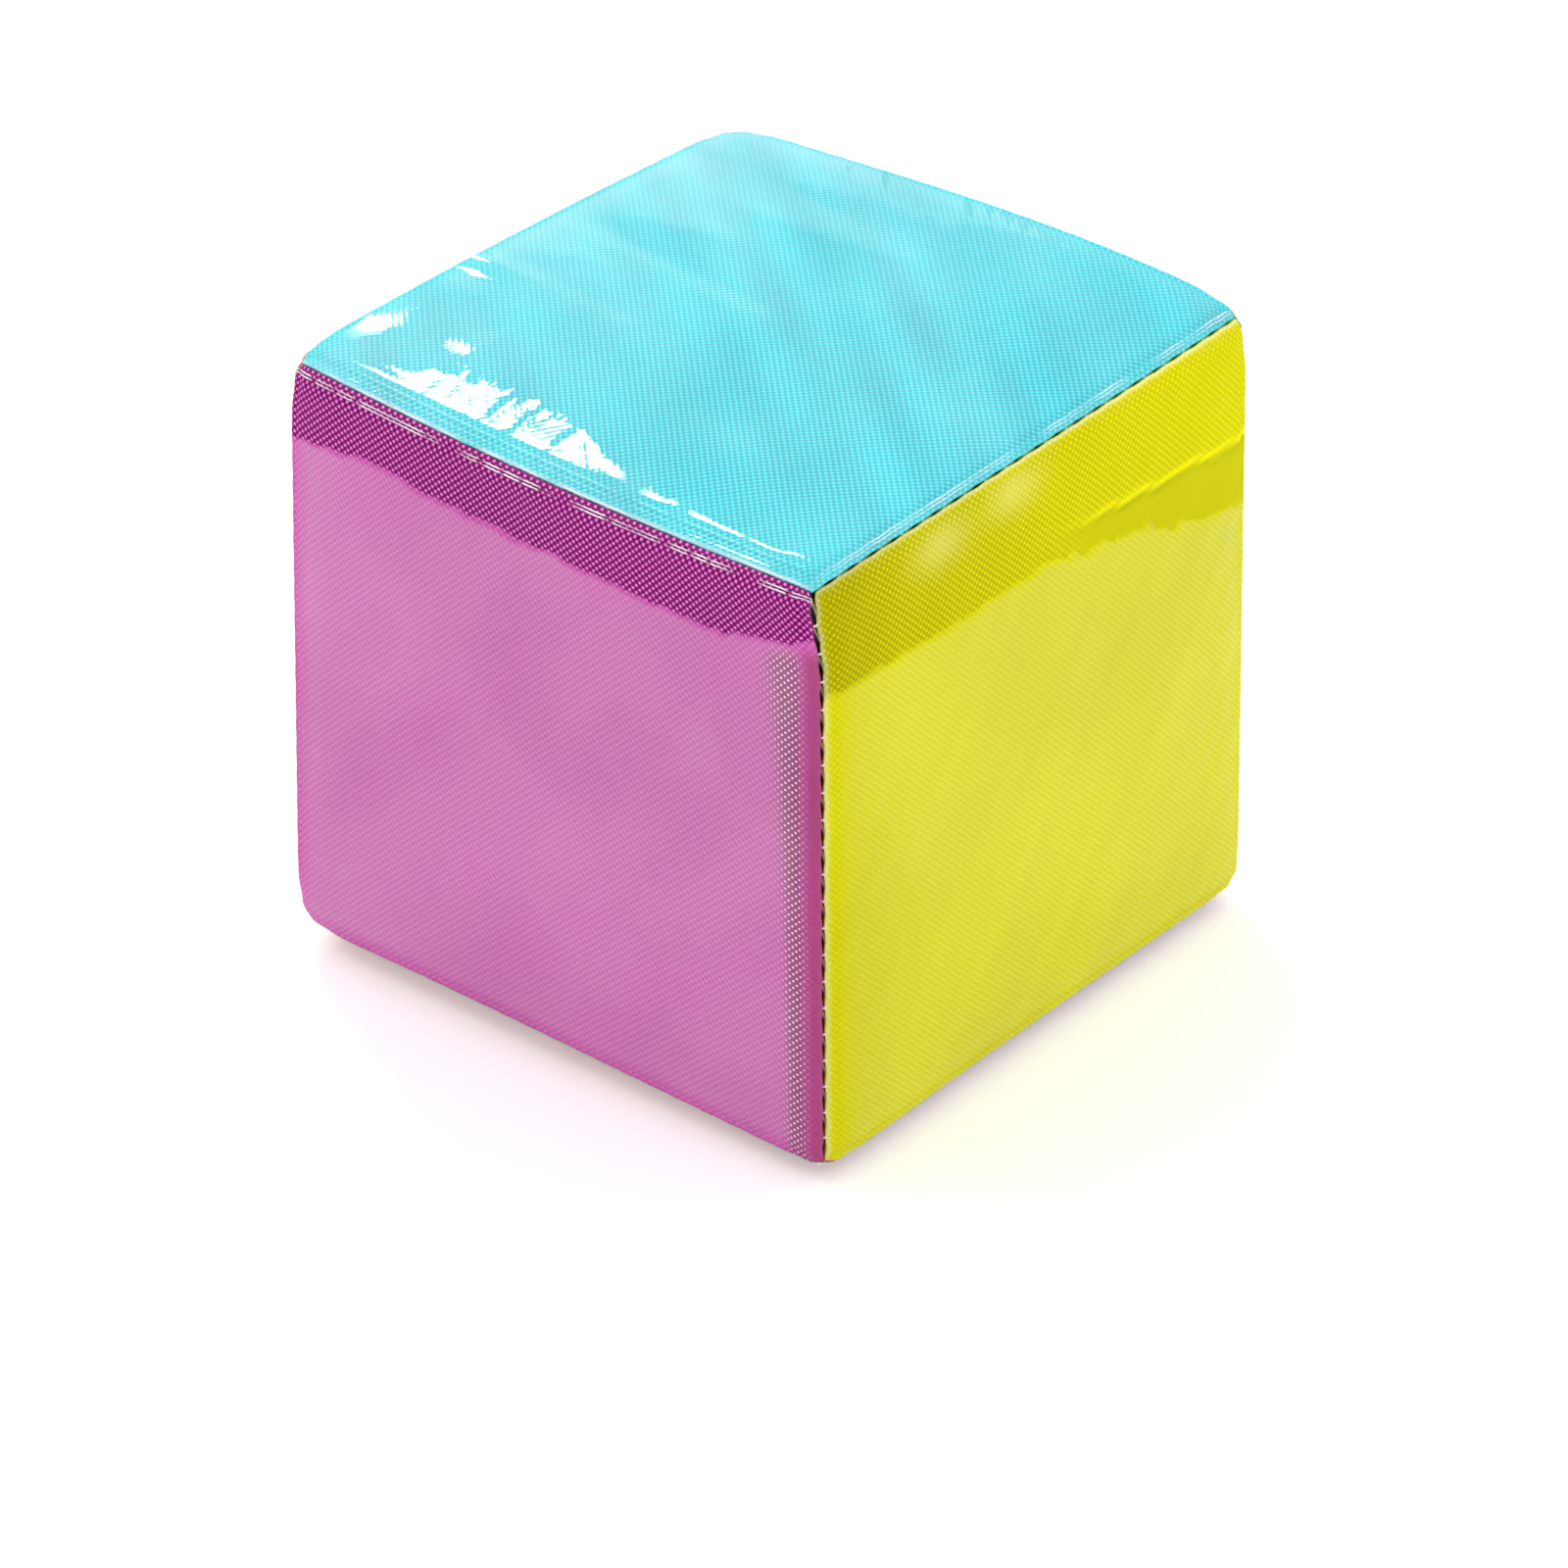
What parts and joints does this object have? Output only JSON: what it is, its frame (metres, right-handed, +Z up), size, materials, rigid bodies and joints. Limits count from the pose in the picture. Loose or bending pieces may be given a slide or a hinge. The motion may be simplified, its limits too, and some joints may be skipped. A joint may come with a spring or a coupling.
{
  "type": "pocket dice",
  "caption": "Soft foam cube in a sewn fabric cover, each face its own colour under a clear film pocket that is open along one edge to take a square card.",
  "frame": {"origin": "under the middle of the die, on the surface that it stands on", "axes": "+Z up, +X out of the yellow face, -Y out of the magenta face"},
  "size_m": [0.1, 0.1, 0.1],
  "materials": {
    "foam": "open-cell foam",
    "cyan_fabric": "plain-weave nylon, slight sheen",
    "magenta_fabric": "plain-weave nylon, slight sheen",
    "yellow_fabric": "plain-weave nylon, slight sheen",
    "green_fabric": "plain-weave nylon, slight sheen",
    "orange_fabric": "plain-weave nylon, slight sheen",
    "red_fabric": "plain-weave nylon, slight sheen",
    "clear_film": "clear glossy film",
    "thread": "sewing thread"
  },
  "bodies": {
    "cube": {"foam_core": "foam", "fabric_panel_top": "cyan_fabric", "fabric_panel_front": "magenta_fabric", "fabric_panel_right": "yellow_fabric", "fabric_panel_back": "green_fabric", "fabric_panel_left": "orange_fabric", "fabric_panel_bottom": "red_fabric", "seam_thread_top_front": "thread", "seam_thread_top_right": "thread", "seam_thread_top_back": "thread", "seam_thread_top_left": "thread", "seam_thread_front_right": "thread", "seam_thread_front_left": "thread", "seam_thread_front_bottom": "thread", "seam_thread_right_back": "thread", "seam_thread_right_bottom": "thread", "seam_thread_back_left": "thread", "seam_thread_back_bottom": "thread", "seam_thread_left_bottom": "thread", "pocket_window_bottom": "clear_film"},
    "front_window": {"pocket_window_front": "clear_film"},
    "right_window": {"pocket_window_right": "clear_film"},
    "back_window": {"pocket_window_back": "clear_film"},
    "left_window": {"pocket_window_left": "clear_film"},
    "top_window": {"pocket_window_top": "clear_film"}
  },
  "joints": [
    {"name": "front_pocket_lift", "type": "hinge", "parent": "cube", "child": "front_window", "pos_m": [0, -0.04797, 0.00274], "axis": [1, 0, 0], "range_deg": [0, 5], "stiffness_Nm_per_rad": 0.02, "springref_deg": -1.15},
    {"name": "right_pocket_lift", "type": "hinge", "parent": "cube", "child": "right_window", "pos_m": [0.04797, 0, 0.00274], "axis": [0, 1, 0], "range_deg": [0, 5], "stiffness_Nm_per_rad": 0.02, "springref_deg": -1.15},
    {"name": "back_pocket_lift", "type": "hinge", "parent": "cube", "child": "back_window", "pos_m": [0, 0.04797, 0.00274], "axis": [-1, 0, 0], "range_deg": [0, 5], "stiffness_Nm_per_rad": 0.02, "springref_deg": -1.15},
    {"name": "left_pocket_lift", "type": "hinge", "parent": "cube", "child": "left_window", "pos_m": [-0.04797, 0, 0.00274], "axis": [0, -1, 0], "range_deg": [0, 5], "stiffness_Nm_per_rad": 0.02, "springref_deg": -1.15},
    {"name": "top_pocket_lift", "type": "hinge", "parent": "cube", "child": "top_window", "pos_m": [-0.04726, 0, 0.09797], "axis": [0, -1, 0], "range_deg": [0, 5], "stiffness_Nm_per_rad": 0.02, "springref_deg": -1.15}
  ]
}
